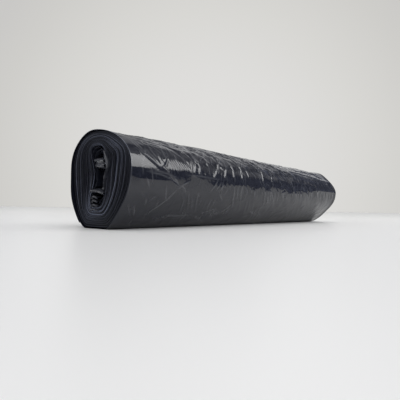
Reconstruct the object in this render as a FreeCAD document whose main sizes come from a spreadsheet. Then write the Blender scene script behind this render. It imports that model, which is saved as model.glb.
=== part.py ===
"""A roll of folded bin bags, wound without a core tube and lying on its side.

The film is one continuous web, so the roll is one solid. Its axis runs along X, and the end at -X
is the one with the free look into the collapsed hollow. Z is up, and the origin is on the floor
under the middle of the roll. Lengths are millimetres. Angles are degrees around the axis, from +Y
towards +Z.
"""

import FreeCAD, Part
import math
import os

NODE = "bag_roll"

# Driving dimensions: alias, value, meaning
SIZES = (
    ("roll_length", 375.0, "end to end, which is half the flat width of one bag"),
    ("mean_radius", 37.0, "radius of the wound film, averaged around the axis"),
    ("floor_press", 1.0, "how much closer to the floor the axis is than the mean radius"),
    ("side_offset", 1.55, "sideways place of the axis, which centres the lopsided roll"),
    ("oval_near", 1.0, "how far the near end is drawn out into an oval"),
    ("oval_middle", 1.5, "the same at mid length"),
    ("oval_far", 2.2, "the same at the far end"),
    ("oval_turn_near", 93.0, "direction of the oval's long axis at the near end"),
    ("oval_turn_middle", 115.0, "the same at mid length"),
    ("oval_turn_far", 132.0, "the same at the far end"),
    ("lobe_near", 2.2, "height of the three soft corners at the near end"),
    ("lobe_middle", 2.1, "the same at mid length"),
    ("lobe_far", 2.0, "the same at the far end"),
    ("lobe_turn_near", 41.5, "direction of the first soft corner at the near end"),
    ("lobe_turn_middle", 48.0, "the same at mid length"),
    ("lobe_turn_far", 57.0, "the same at the far end"),
    ("free_edge_step", 1.2, "thickness of the folded bag at its free outer edge"),
    ("free_edge_turn", 303.0, "where the free outer edge lies, low at the back"),
    ("hollow_half_height", 22.3, "half the height of the collapsed hollow"),
    ("hollow_half_width", 10.5, "half the width of the hollow at its two ends"),
    ("hollow_pinch", 4.9, "how much narrower the hollow's waist is on each side"),
    ("hollow_bow", 4.8, "how far the waist is pushed sideways"),
    ("hollow_side", 2.6, "sideways place of the hollow's two ends"),
    ("hollow_lift", 2.6, "height of the hollow's middle over the axis"),
    ("hollow_margin", 1.0, "how far the hollow's cut starts before one end and goes past the other"),
    ("gap_turns", 6.0, "turns of the gap that shows between the wound film"),
    ("gap_inner_share", 0.13, "where the gap starts, from the hollow at 0 to the outside at 1"),
    ("gap_outer_share", 0.95, "where the gap ends, on the same scale"),
    ("gap_width_share", 0.03, "width of the gap, on the same scale"),
    ("gap_depth", 4.0, "depth of the gap at each end"),
    ("crease_root", 1.0, "how deep a crease is rooted in the film"),
)

# Creases of the outermost bag: what they are, their width and height, and where each one starts
# and ends, as a percentage of the length from the near end and an angle around the axis
CREASES = (
    ("pleat", 2.6, 0.9, (
        (3.5, 150, 6.9, 166),
        (5.3, 150, 7.7, 165),
        (7.7, 150, 8.3, 162),
        (10.7, 148, 7.7, 166),
        (8.3, 166, 9.9, 173),
        (9.6, 174, 12.8, 186),
    )),
    ("ripple", 2.0, 0.7, (
        (9.9, 157, 11.2, 166),
        (11.2, 155, 12.5, 166),
        (12.3, 155, 13.6, 164),
        (13.9, 157, 14.7, 167),
        (18.7, 155, 19.5, 166),
        (17.6, 158, 16.3, 171),
        (17.6, 145, 18.7, 155),
    )),
    ("middle_fold", 2.2, 0.8, (
        (26.9, 152, 24.5, 168),
        (29.6, 156, 29.1, 169),
        (31.7, 152, 32.3, 170),
        (35.5, 153, 36.0, 167),
        (25.9, 171, 23.2, 189),
        (28.0, 176, 26.1, 189),
        (32.0, 177, 33.1, 197),
        (33.1, 196, 34.9, 214),
        (34.9, 183, 36.8, 200),
    )),
    ("low_fold", 2.2, 0.8, (
        (6.9, 227, 12.3, 189),
        (23.5, 225, 29.3, 215),
        (50.7, 180, 55.5, 210),
        (43.7, 219, 51.2, 229),
    )),
    ("far_fold", 3.0, 1.1, (
        (45.9, 155, 46.1, 170),
        (50.9, 153, 51.2, 168),
        (69.9, 127, 87.5, 147),
        (68.5, 139, 84.3, 150),
    )),
    ("top_fold", 3.0, 0.9, (
        (4.0, 128, 10.1, 136),
        (21.9, 106, 22.4, 128),
    )),
)

# Numbers of arcs in the outlines
SECTION_ARCS = 12
HOLLOW_ARCS = 10
GAP_ARCS_PER_TURN = 6

# Blunt ends of the hollow: 1 would make them round, and less makes them squarer
HOLLOW_BLUNTNESS = 0.55

# The flat top of a crease starts and ends at these shares of its length
CREST_START = 0.3
CREST_END = 0.7

FULL_TURN = 360.0
HALF_TURN = 180.0
PERCENT = 100.0


def make_sheet(doc):
    """Write the driving dimensions into a spreadsheet and return it."""
    sheet = doc.addObject("Spreadsheet::Sheet", "sizes")
    for row, (alias, value, meaning) in enumerate(SIZES, start=1):
        sheet.set(f"A{row}", meaning)
        sheet.set(f"B{row}", str(value))
        sheet.setAlias(f"B{row}", alias)
    doc.recompute()
    return sheet


def axis_height(sheet):
    """Height of the axis over the floor."""
    return sheet.mean_radius - sheet.floor_press


def outer_point(sheet, place, angle, past_edge):
    """Point of the outermost bag; past_edge is the angle wound since its free edge."""
    oval = getattr(sheet, f"oval_{place}")
    oval_turn = getattr(sheet, f"oval_turn_{place}")
    lobe = getattr(sheet, f"lobe_{place}")
    lobe_turn = getattr(sheet, f"lobe_turn_{place}")
    radius = sheet.mean_radius + sheet.free_edge_step * (0.5 - past_edge / FULL_TURN)
    radius += oval * math.cos(2 * math.radians(angle - oval_turn))
    radius += lobe * math.cos(3 * math.radians(angle - lobe_turn))
    turn = math.radians(angle)
    across = sheet.side_offset + radius * math.cos(turn)
    return FreeCAD.Vector(across, axis_height(sheet) + radius * math.sin(turn), 0)


def hollow_point(sheet, angle):
    """Point on the wall of the hollow, a tall slot with a waist that is pushed to one side."""
    rise = math.sin(math.radians(angle))
    reach = math.cos(math.radians(angle))
    waist = reach**4
    half_width = sheet.hollow_half_width - sheet.hollow_pinch * waist
    blunt = math.copysign(abs(reach) ** HOLLOW_BLUNTNESS, reach)
    across = sheet.side_offset + sheet.hollow_side - sheet.hollow_bow * waist + half_width * blunt
    height = axis_height(sheet) + sheet.hollow_lift + sheet.hollow_half_height * rise
    return FreeCAD.Vector(across, height, 0)


def turn_point(sheet, place, angle, share):
    """Point inside the wound film: share is 0 at the hollow and 1 at the outside."""
    outside = outer_point(sheet, place, angle, HALF_TURN)
    return hollow_point(sheet, angle) * (1 - share) + outside * share


def arc_chain(points):
    """Arcs end to end, each through three of the points and sharing its ends with the next."""
    arcs = []
    for first in range(0, len(points) - 2, 2):
        arcs.append(Part.Arc(points[first], points[first + 1], points[first + 2]))
    return arcs


def add_sketch(doc, body, name, plane_role, offset_expression):
    """Sketch on one of the body's own planes, moved along the plane's normal."""
    sketch = body.newObject("Sketcher::SketchObject", name)
    plane = next(item for item in body.Origin.OriginFeatures if item.Role == plane_role)
    sketch.AttachmentSupport = (plane, [""])
    sketch.MapMode = "FlatFace"
    sketch.setExpression("AttachmentOffset.Base.z", offset_expression)
    doc.recompute()
    return sketch


def add_section(doc, body, sheet, place, offset_expression):
    """Outline of the roll at one place: once around, and the step at the free edge."""
    sketch = add_sketch(doc, body, f"section_{place}", "YZ_Plane", offset_expression)
    steps = 2 * SECTION_ARCS
    points = []
    for step in range(steps + 1):
        past_edge = FULL_TURN * step / steps
        points.append(outer_point(sheet, place, sheet.free_edge_turn + past_edge, past_edge))
    sketch.addGeometry(arc_chain(points), False)
    sketch.addGeometry(Part.LineSegment(points[-1], points[0]), False)
    return sketch


def add_wound_film(doc, body, sheet):
    """Loft the roll through its sections at both ends and at mid length."""
    near = add_section(doc, body, sheet, "near", "-sizes.roll_length / 2")
    middle = add_section(doc, body, sheet, "middle", "0")
    far = add_section(doc, body, sheet, "far", "sizes.roll_length / 2")
    film = body.newObject("PartDesign::AdditiveLoft", "wound_film")
    film.Profile = near
    film.Sections = [middle, far]
    film.Ruled = True
    doc.recompute()
    return film


def cut(doc, body, name, sketch, length_expression, reversed_cut):
    """Pocket from a sketch, checked to take material away."""
    before = body.Shape.Volume
    pocket = body.newObject("PartDesign::Pocket", name)
    pocket.Profile = sketch
    pocket.setExpression("Length", length_expression)
    pocket.Reversed = reversed_cut
    doc.recompute()
    if body.Shape.Volume >= before:
        raise RuntimeError(f"{name} cuts nothing")
    return pocket


def add_flat_spot(doc, body, sheet):
    """Level the underside where the roll's weight presses the soft film on the floor."""
    sketch = add_sketch(doc, body, "floor", "XY_Plane", "0")
    reach = sheet.roll_length
    corners = [
        FreeCAD.Vector(-reach, -reach, 0),
        FreeCAD.Vector(reach, -reach, 0),
        FreeCAD.Vector(reach, reach, 0),
        FreeCAD.Vector(-reach, reach, 0),
    ]
    for start, end in zip(corners, corners[1:] + corners[:1]):
        sketch.addGeometry(Part.LineSegment(start, end), False)
    return cut(doc, body, "flat_spot", sketch, "sizes.mean_radius", False)


def add_hollow(doc, body, sheet):
    """Open the collapsed hollow from end to end."""
    start = "sizes.roll_length / 2 + sizes.hollow_margin"
    sketch = add_sketch(doc, body, "hollow_outline", "YZ_Plane", start)
    steps = 2 * HOLLOW_ARCS
    points = [hollow_point(sheet, FULL_TURN * (step % steps) / steps) for step in range(steps + 1)]
    sketch.addGeometry(arc_chain(points), False)
    return cut(doc, body, "hollow", sketch, "sizes.roll_length + 2 * sizes.hollow_margin", False)


def add_turn_gap(doc, body, sheet, place, offset_expression, reversed_cut):
    """Cut the thin spiral gap that shows between the turns at one end."""
    sketch = add_sketch(doc, body, f"turns_{place}", "YZ_Plane", offset_expression)
    steps = 2 * round(GAP_ARCS_PER_TURN * sheet.gap_turns)
    inner_side = []
    outer_side = []
    for step in range(steps + 1):
        angle = sheet.free_edge_turn + FULL_TURN * sheet.gap_turns * step / steps
        share = sheet.gap_outer_share
        share -= (sheet.gap_outer_share - sheet.gap_inner_share) * step / steps
        inner_side.append(turn_point(sheet, place, angle, share - sheet.gap_width_share / 2))
        outer_side.append(turn_point(sheet, place, angle, share + sheet.gap_width_share / 2))
    sketch.addGeometry(arc_chain(inner_side) + arc_chain(outer_side), False)
    sketch.addGeometry(Part.LineSegment(inner_side[0], outer_side[0]), False)
    sketch.addGeometry(Part.LineSegment(inner_side[-1], outer_side[-1]), False)
    return cut(doc, body, f"turn_gap_{place}", sketch, "sizes.gap_depth", reversed_cut)


def surface_point(sheet, share, angle):
    """Point on the outermost bag, share being 0 at the near end and 1 at the far end."""
    past_edge = (angle - sheet.free_edge_turn) % FULL_TURN
    near = outer_point(sheet, "near", angle, past_edge)
    middle = outer_point(sheet, "middle", angle, past_edge)
    far = outer_point(sheet, "far", angle, past_edge)
    near_weight = (1 - share) * (1 - 2 * share)
    middle_weight = 4 * share * (1 - share)
    far_weight = share * (2 * share - 1)
    flat = near * near_weight + middle * middle_weight + far * far_weight
    return FreeCAD.Vector((share - 0.5) * sheet.roll_length, flat.x, flat.y)


def add_crease(doc, sheet, name, width, height, ends):
    """Pinched ridge between two points of the surface, with both of its ends sloping down."""
    start_share, start_angle, end_share, end_angle = ends[0] / PERCENT, ends[1], ends[2] / PERCENT, ends[3]
    start = surface_point(sheet, start_share, start_angle)
    end = surface_point(sheet, end_share, end_angle)
    middle = surface_point(sheet, (start_share + end_share) / 2, (start_angle + end_angle) / 2)
    axis_point = FreeCAD.Vector(middle.x, sheet.side_offset, axis_height(sheet))
    along = end - start
    length = along.Length
    rise = along.cross(middle - axis_point).cross(along)
    sagitta = (middle - start).dot(rise.normalize())

    ridge = doc.addObject("Part::Wedge", name)
    ridge.Xmin = 0
    ridge.Xmax = length
    ridge.X2min = length * CREST_START
    ridge.X2max = length * CREST_END
    ridge.Zmin = -width / 2
    ridge.Zmax = width / 2
    ridge.Z2min = 0
    ridge.Z2max = 0
    ridge.setExpression("Ymin", "-sizes.crease_root")
    ridge.Ymax = sagitta + height
    ridge.Placement = FreeCAD.Placement(start, FreeCAD.Rotation(along, rise, FreeCAD.Vector(), "XYZ"))
    return ridge


def add_creases(doc, sheet):
    """Make every crease of the list."""
    ridges = []
    for kind, width, height, places in CREASES:
        for number, ends in enumerate(places, start=1):
            ridges.append(add_crease(doc, sheet, f"{kind}_{number}", width, height, ends))
    doc.recompute()
    return ridges


def check(doc):
    """Stop if any object failed or has no sound shape."""
    for item in doc.Objects:
        if {"Invalid", "Error"} & set(item.State):
            raise RuntimeError(f"{item.Name} failed: {item.State}")
    for item in doc.Objects:
        if item.isDerivedFrom("Part::Feature") and not item.isDerivedFrom("Part::Part2DObject"):
            if item.Shape.isNull() or not item.Shape.isValid():
                raise RuntimeError(f"{item.Name} has no sound shape")


def main():
    doc = FreeCAD.newDocument("bag_roll_model")
    sheet = make_sheet(doc)

    body = doc.addObject("PartDesign::Body", "roll_body")
    add_wound_film(doc, body, sheet)
    add_flat_spot(doc, body, sheet)
    add_hollow(doc, body, sheet)
    add_turn_gap(doc, body, sheet, "near", "-sizes.roll_length / 2", True)
    add_turn_gap(doc, body, sheet, "far", "sizes.roll_length / 2", False)

    roll = doc.addObject("Part::MultiFuse", "roll_with_creases")
    roll.Shapes = [body] + add_creases(doc, sheet)
    roll.Label = NODE
    doc.recompute()
    check(doc)

    os.makedirs("parts", exist_ok=True)
    roll.Shape.exportStep(f"parts/{NODE}.step")
    box = roll.Shape.optimalBoundingBox(False, False)
    print(f"{NODE}: {len(roll.Shape.Solids)} solid, {len(roll.Shape.Faces)} faces")
    print(f"volume {roll.Shape.Volume / 1000:.1f} cm3")
    print(f"x {box.XMin:.2f} {box.XMax:.2f} y {box.YMin:.2f} {box.YMax:.2f} z {box.ZMin:.2f} {box.ZMax:.2f}")


main()
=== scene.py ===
# %% [markdown]
# A roll of bin bags is one long film, folded lengthwise and wound up without a core tube. This
# lesson dresses the plain CAD solid: the outermost bag with its creases, the turns of film that
# show at both ends, the crumpled start of the film in the hollow, and the glossy black film itself.
# Everything is in metres, in the frame of the CAD model: the roll lies along X, Z is up, and the
# end at -X shows its hollow to the camera.

import math

import bpy
import numpy as np
from mathutils import Matrix, Vector


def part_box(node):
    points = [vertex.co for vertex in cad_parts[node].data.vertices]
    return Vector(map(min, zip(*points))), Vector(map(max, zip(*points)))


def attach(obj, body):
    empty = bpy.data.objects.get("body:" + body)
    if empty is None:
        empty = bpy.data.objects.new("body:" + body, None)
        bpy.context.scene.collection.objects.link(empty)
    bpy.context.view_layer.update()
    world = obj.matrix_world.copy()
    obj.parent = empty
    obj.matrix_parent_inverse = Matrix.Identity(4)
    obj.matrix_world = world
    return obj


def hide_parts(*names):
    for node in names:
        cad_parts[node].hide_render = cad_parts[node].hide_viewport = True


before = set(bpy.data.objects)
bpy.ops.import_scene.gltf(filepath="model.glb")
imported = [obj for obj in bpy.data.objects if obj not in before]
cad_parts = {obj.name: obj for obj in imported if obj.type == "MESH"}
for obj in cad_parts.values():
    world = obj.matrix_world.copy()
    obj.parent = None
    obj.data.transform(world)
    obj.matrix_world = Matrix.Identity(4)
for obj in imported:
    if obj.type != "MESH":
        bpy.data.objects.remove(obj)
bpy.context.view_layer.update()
NODE = "bag_roll"
low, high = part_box(NODE)
MM = 0.001
LENGTH = (high.x - low.x) / MM
print(f"CAD roll: {LENGTH:.0f} mm long, {(high.y - low.y) / MM:.1f} mm wide, {high.z / MM:.1f} mm tall")

# %% [markdown]
# The section of the roll is a circle drawn out into a slight oval with three soft corners, which
# turn a little from one end to the other. These are the sizes that the CAD model is made with, in
# millimetres and degrees around the axis, from +Y towards +Z. The film also gives a little towards
# the far end: SQUASH lists how far it is pushed in or out there, around which angle and how widely.

# %% The section's sizes
MEAN_RADIUS = 37.0
AXIS_HEIGHT = 36.0
SIDE_OFFSET = 1.55
OVAL = (1.0, 1.5, 2.2)
OVAL_TURN = (93.0, 115.0, 132.0)
LOBE = (2.2, 2.1, 2.0)
LOBE_TURN = (41.5, 48.0, 57.0)
EDGE_STEP = 1.2
EDGE_TURN = 303.0
FULL_TURN = 360.0
MM_PER_DEGREE = math.radians(MEAN_RADIUS)
SQUASH = ((-1.4, 142, 16), (0.7, 117, 10), (0.5, 168, 10), (-1.3, 212, 22))
SQUASH_START = 0.65


def section_radius(place, angle):
    """Radius without the free edge's step, at the near end (0), the middle (1) or the far end (2)."""
    oval = OVAL[place] * np.cos(2 * np.radians(angle - OVAL_TURN[place]))
    lobe = LOBE[place] * np.cos(3 * np.radians(angle - LOBE_TURN[place]))
    return MEAN_RADIUS + oval + lobe


def squash(share, angle):
    """The far end is pressed a little out of round: two flats between three soft corners."""
    form = np.zeros(np.broadcast(share, angle).shape)
    for push, middle, spread in SQUASH:
        off = (angle - middle + 0.5 * FULL_TURN) % FULL_TURN - 0.5 * FULL_TURN
        form += push * np.exp(-((off / spread) ** 2))
    return form * np.clip((share - SQUASH_START) / (1 - SQUASH_START), 0, 1) ** 2


def film_radius(share, angle, past_edge):
    """Radius of the wound film; share runs from 0 at the near end to 1 at the far end."""
    near = section_radius(0, angle) * (1 - share) * (1 - 2 * share)
    middle = section_radius(1, angle) * 4 * share * (1 - share)
    far = section_radius(2, angle) * share * (2 * share - 1)
    return near + middle + far + squash(share, angle) + EDGE_STEP * (0.5 - past_edge / FULL_TURN)


def on_floor(height, softness=0.8):
    """Heights below the floor are pressed flat on it, with a soft corner."""
    return 0.5 * (height + np.sqrt(height * height + softness * softness))


# %% [markdown]
# The hollow is where the film was wound on a bare spindle that was pulled out, so it fell in: a
# tall slot with a waist that leans to one side. Each turn of film lies somewhere between the wall
# of the hollow and the outside, so one function that blends the two outlines places them all.

# %% The outlines of the hollow and of the turns
HOLLOW_HALF_HEIGHT = 22.3
HOLLOW_HALF_WIDTH = 10.5
HOLLOW_PINCH = 4.9
HOLLOW_BOW = 4.8
HOLLOW_SIDE = 2.6
HOLLOW_LIFT = 2.6
BLUNTNESS = 0.55
SHOULDER_TURN = 150.0
SHOULDER_SPREAD = 15.0
SHOULDER_RISE = 3.2


def hollow_outline(angle):
    """Across and up, in millimetres, on the wall of the hollow."""
    rise = np.sin(np.radians(angle))
    reach = np.cos(np.radians(angle))
    waist = reach**4
    half_width = HOLLOW_HALF_WIDTH - HOLLOW_PINCH * waist
    blunt = np.sign(reach) * np.abs(reach) ** BLUNTNESS
    across = SIDE_OFFSET + HOLLOW_SIDE - HOLLOW_BOW * waist + half_width * blunt
    return across, AXIS_HEIGHT + HOLLOW_LIFT + HOLLOW_HALF_HEIGHT * rise


def turn_outline(share, angle, depth):
    """Across and up inside the wound film; depth runs from 0 at the hollow to 1 outside."""
    inner_across, inner_up = hollow_outline(angle)
    radius = film_radius(share, angle, 0.5 * FULL_TURN)
    off_shoulder = (angle % FULL_TURN - SHOULDER_TURN) / SHOULDER_SPREAD
    shoulder = SHOULDER_RISE * np.exp(-(off_shoulder**2)) * 4 * depth * (1 - depth)
    turn = np.radians(angle)
    outer_across = SIDE_OFFSET + radius * np.cos(turn)
    outer_up = on_floor(AXIS_HEIGHT + radius * np.sin(turn))
    across = inner_across * (1 - depth) + outer_across * depth + shoulder * np.cos(turn)
    up = inner_up * (1 - depth) + outer_up * depth + shoulder * np.sin(turn)
    return across, up


# %% [markdown]
# Thin film never lies smooth. It breaks into small flat facets with soft ridges between them. A
# lattice of random heights, bent by slow waves and read with straight interpolation, gives just
# such facets. Three lattices, each finer and shallower than the last, make a field of them.

# %% Facets of crumpled film
LATTICE = (97, 89)
BEND = 0.45
WAVE = 2.3


def lattice_facets(along, around, cell_along, cell_around, seed):
    """Flat facets between random heights from -1 to 1, on a triangular lattice."""
    heights = np.random.default_rng(seed).uniform(-1, 1, LATTICE)
    bend = BEND * cell_along
    wave = WAVE * cell_along
    slow_bend = bend * np.sin(around / wave + seed)
    fast_bend = 0.3 * bend * np.sin(around / (0.37 * wave))
    u = (along + slow_bend + fast_bend) / cell_along
    v = (around + 0.6 * bend * np.sin(along / wave + 2 * seed)) / cell_around
    column = np.floor(u).astype(int)
    row = np.floor(v).astype(int)
    fu = u - column
    fv = v - row
    corner = [[heights[(column + i) % LATTICE[0], (row + j) % LATTICE[1]] for j in (0, 1)] for i in (0, 1)]
    lower = corner[0][0] + fu * (corner[1][0] - corner[0][0]) + fv * (corner[1][1] - corner[1][0])
    upper = corner[0][0] + fv * (corner[0][1] - corner[0][0]) + fu * (corner[1][1] - corner[0][1])
    return np.where(fu > fv, lower, upper)


def around_peak(values, middle, spread):
    """1 at the middle, falling away on both sides."""
    return np.exp(-(((values - middle) / spread) ** 2))


def soften(field, passes):
    """Round the ridges of a height field by averaging neighbours."""
    for _ in range(passes):
        padded = np.pad(field, 1, mode="edge")
        ahead_and_behind = padded[:-2, 1:-1] + padded[2:, 1:-1]
        field = 0.5 * field + 0.125 * (ahead_and_behind + padded[1:-1, :-2] + padded[1:-1, 2:])
    return field


# %% [markdown]
# The outermost bag is a sheet: a grid primitive with more rows where the creases are finest. It is
# wound once around the roll and a little under its own free edge. Its creases are laid on as a
# height field, in millimetres: folds placed one by one, then finer creases, then facets everywhere.

# %% Rows and columns of the outermost bag
ROWS = 460
COLUMNS = 200
UNDERLAP = 14.0


def spaced(count, stops, weights):
    """Numbers from the first stop to the last, closer together where the weight is larger."""
    fine = np.linspace(stops[0], stops[-1], 4000)
    density = np.interp(fine, stops, weights)
    total = np.concatenate([[0], np.cumsum(0.5 * (density[1:] + density[:-1]))])
    return np.interp(np.linspace(0, total[-1], count), total, fine)


row_places = spaced(
    ROWS,
    (0, 28, 34, 60, 66, 90, 150, 215, LENGTH - 6, LENGTH - 4, LENGTH),
    (1.4, 1.6, 3.0, 3.0, 1.6, 1.5, 1.2, 0.75, 0.75, 2.0, 2.0),
)
column_angles = spaced(
    COLUMNS,
    (0, 90, 140, 235, 290, FULL_TURN + UNDERLAP),
    (0.6, 0.8, 1.5, 1.4, 0.7, 0.55),
)
along, past_edge = np.meshgrid(row_places, column_angles, indexing="ij")
angle_around = EDGE_TURN + past_edge
degrees = angle_around % FULL_TURN
around = degrees * MM_PER_DEGREE
print(f"outermost bag: {ROWS} rows, {COLUMNS} columns, {ROWS * COLUMNS} points")

# %% [markdown]
# A fold is a narrow ridge, or a groove if its height is negative, with two sides of their own
# widths. The list gives its height, the widths, and a few points that it runs through: the distance
# from the near end in millimetres and the angle around the axis in degrees. Film that is folded
# hard turns pale, and its crests also get a painted highlight, so the crests are kept as a field of
# their own: paleness from the fold's strain and painted highlight together.
#
# A flat is a stretch of film that leaves the round of the roll along one line and stands off it up
# to another. Its list gives its two ends, the angles of the two lines, and how soon it falls back.

# %% Folds of the outermost bag
SEED = 20
FOLD_WHITENING_AND_GLINT = 0.9
FOLD_REACH = 1.5
FADE_START = 0.02
FADE_POWER = 0.6
CREST_ROUND = 0.15
CREST_WIDTH = 0.9
FLAT_FADE = 7.0
FLATS = (
    (1, 46, 171, 180.5, 3.0),
    (300, 385, 158, 170, 5.0),
    (300, 385, 158, 146, 5.0),
)
FOLDS = (
    (0.55, 5.5, 0.9, ((7, 146), (13, 153), (20, 160), (29, 168))),
    (0.12, 0.6, 0.8, ((14, 172), (28, 174), (40, 179))),
    (0.12, 0.6, 0.8, ((20, 170), (33, 172), (46, 176))),
    (0.18, 0.6, 1.2, ((14, 151), (27, 166))),
    (0.18, 0.6, 1.2, ((19, 152), (31, 167))),
    (0.20, 2.6, 2.6, ((54, 171), (74, 171), (98, 172))),
    (0.16, 0.7, 1.9, ((27, 150), (32, 164))),
    (0.26, 0.9, 2.2, ((38, 150), (33, 158), (27, 168))),
    (-0.55, 0.9, 1.0, ((37, 156), (32, 166))),
    (0.40, 0.8, 1.4, ((31, 165), (37, 173))),
    (0.62, 22.0, 0.8, ((64, 150), (64, 160), (61, 173))),
    (0.20, 0.5, 0.9, ((67, 150), (67, 160), (64, 171))),
    (0.26, 0.6, 1.2, ((69, 146), (73, 160), (70, 173))),
    (0.40, 0.8, 1.4, ((66, 146), (70, 155))),
    (-0.60, 0.9, 1.1, ((36, 173), (41, 179), (45, 181), (49, 185))),
    (0.30, 0.8, 1.6, ((104, 140), (99, 156), (90, 173))),
    (0.25, 0.8, 1.4, ((100, 155), (98, 164))),
    (0.30, 0.8, 1.4, ((112, 146), (111, 156), (105, 173))),
    (0.38, 0.8, 1.7, ((117, 136), (122, 153), (121, 174))),
    (0.45, 0.8, 1.8, ((130, 132), (136, 151), (135, 175))),
    (-0.34, 0.8, 1.2, ((143, 150), (146, 164))),
    (0.26, 0.8, 1.4, ((97, 171), (87, 189))),
    (0.24, 0.8, 1.2, ((101, 175), (94, 187))),
    (0.26, 0.8, 1.4, ((105, 177), (99, 188))),
    (0.34, 0.9, 1.5, ((120, 175), (122, 186), (124, 197), (131, 215))),
    (0.24, 0.8, 1.3, ((132, 184), (138, 200))),
    (0.22, 0.8, 1.2, ((126, 178), (130, 196))),
    (0.40, 0.9, 1.6, ((110, 138), (101, 153))),
    (0.35, 0.9, 1.6, ((166, 134), (166, 148))),
    (0.52, 0.8, 1.8, ((175, 138), (175, 154), (173, 175))),
    (0.56, 0.8, 1.8, ((196, 138), (194, 154), (192, 175))),
    (0.85, 3.6, 1.6, ((262, 127), (312, 125), (362, 123))),
    (0.95, 3.6, 1.6, ((246, 135), (290, 139), (340, 145))),
    (0.70, 3.0, 1.4, ((254, 142), (285, 146), (320, 149))),
    (0.26, 0.9, 1.5, ((183, 181), (188, 196), (194, 210))),
    (0.26, 0.9, 1.5, ((188, 179), (200, 197), (209, 212))),
    (0.26, 0.9, 1.4, ((197, 180), (203, 198))),
    (0.22, 0.9, 1.4, ((205, 182), (210, 200))),
    (0.36, 1.2, 1.8, ((162, 219), (178, 226), (193, 230))),
    (0.16, 0.8, 1.2, ((26, 228), (36, 210), (47, 188))),
    (0.14, 0.8, 1.2, ((47, 188), (54, 182), (60, 178))),
    (0.30, 1.0, 1.8, ((88, 226), (109, 215))),
    (0.30, 0.9, 1.4, ((118, 226), (124, 212), (128, 204))),
    (0.26, 0.9, 1.4, ((122, 228), (128, 214))),
    (0.45, 1.2, 2.4, ((34, 238), (50, 229), (84, 230), (106, 246))),
    (0.45, 1.0, 1.6, ((12, 122), (26, 127), (38, 131))),
    (0.40, 1.0, 1.6, ((10, 129), (28, 135), (46, 139))),
    (0.40, 0.9, 1.4, ((18, 137), (42, 142))),
    (0.60, 1.3, 1.9, ((82, 105), (83, 128))),
    (0.50, 1.0, 1.6, ((52, 136), (60, 142), (64, 150))),
    (0.50, 1.0, 1.6, ((88, 134), (84, 142), (76, 149))),
)
rng = np.random.default_rng(SEED)
crest_whitening_and_glint = np.zeros_like(along)


def lay_fold(field, rise, right_width, left_width, points, whitening_and_glint):
    """Add one fold to the height field, fading out towards both of its ends, and mark its crest pale:
    whitened by the fold's strain and painted as a highlight.
    """
    route = np.array([(place, turn * MM_PER_DEGREE) for place, turn in points])
    steps = np.diff(route, axis=0)
    lengths = np.hypot(steps[:, 0], steps[:, 1])
    reach = FOLD_REACH * max(right_width, left_width)
    near_it = (along > route[:, 0].min() - reach) & (along < route[:, 0].max() + reach)
    near_it &= (around > route[:, 1].min() - reach) & (around < route[:, 1].max() + reach)
    if not near_it.any():
        return
    best = np.full(near_it.sum(), np.inf)
    side = np.zeros_like(best)
    done = np.zeros_like(best)
    passed = 0.0
    for start, step, length in zip(route[:-1], steps, lengths):
        da = along[near_it] - start[0]
        dr = around[near_it] - start[1]
        t = np.clip((da * step[0] + dr * step[1]) / length**2, 0, 1)
        off = np.hypot(da - t * step[0], dr - t * step[1])
        closer = off < best
        best = np.where(closer, off, best)
        side = np.where(closer, np.sign(da * step[1] - dr * step[0]), side)
        done = np.where(closer, passed + t * length, done)
        passed += length
    width = np.where(side > 0, right_width, left_width)
    fade = np.sin(np.pi * np.clip(done / passed, FADE_START, 1 - FADE_START)) ** FADE_POWER
    field[near_it] += rise * fade * np.clip(1 + CREST_ROUND - np.hypot(best / width, CREST_ROUND), 0, 1)
    crest_whitening_and_glint[near_it] = np.maximum(crest_whitening_and_glint[near_it], whitening_and_glint * fade * np.clip(1 - best / CREST_WIDTH, 0, 1))


def flat_facet(start, end, touch_turn, end_turn, fall):
    """Lift the film onto a flat that leaves the round of the roll at one line and stands off to another."""
    off = (degrees - touch_turn) * MM_PER_DEGREE * np.sign(end_turn - touch_turn)
    reach = abs(end_turn - touch_turn) * MM_PER_DEGREE
    stand_off = reach**2 / (2 * MEAN_RADIUS)
    rising = np.maximum(off, 0) ** 2 / (2 * MEAN_RADIUS)
    falling = stand_off * np.clip(1 - (off - reach) / fall, 0, 1)
    lift = np.where(off < reach, rising, falling)
    return lift * np.clip(np.minimum(along - start, end - along) / FLAT_FADE, 0, 1)


folds = sum(flat_facet(*flat) for flat in FLATS)
for rise, right_width, left_width, points in FOLDS:
    lay_fold(folds, rise, right_width, left_width, points, FOLD_WHITENING_AND_GLINT)
print(f"{len(FOLDS)} folds, from {folds.min():.2f} to {folds.max():.2f} mm")
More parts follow.
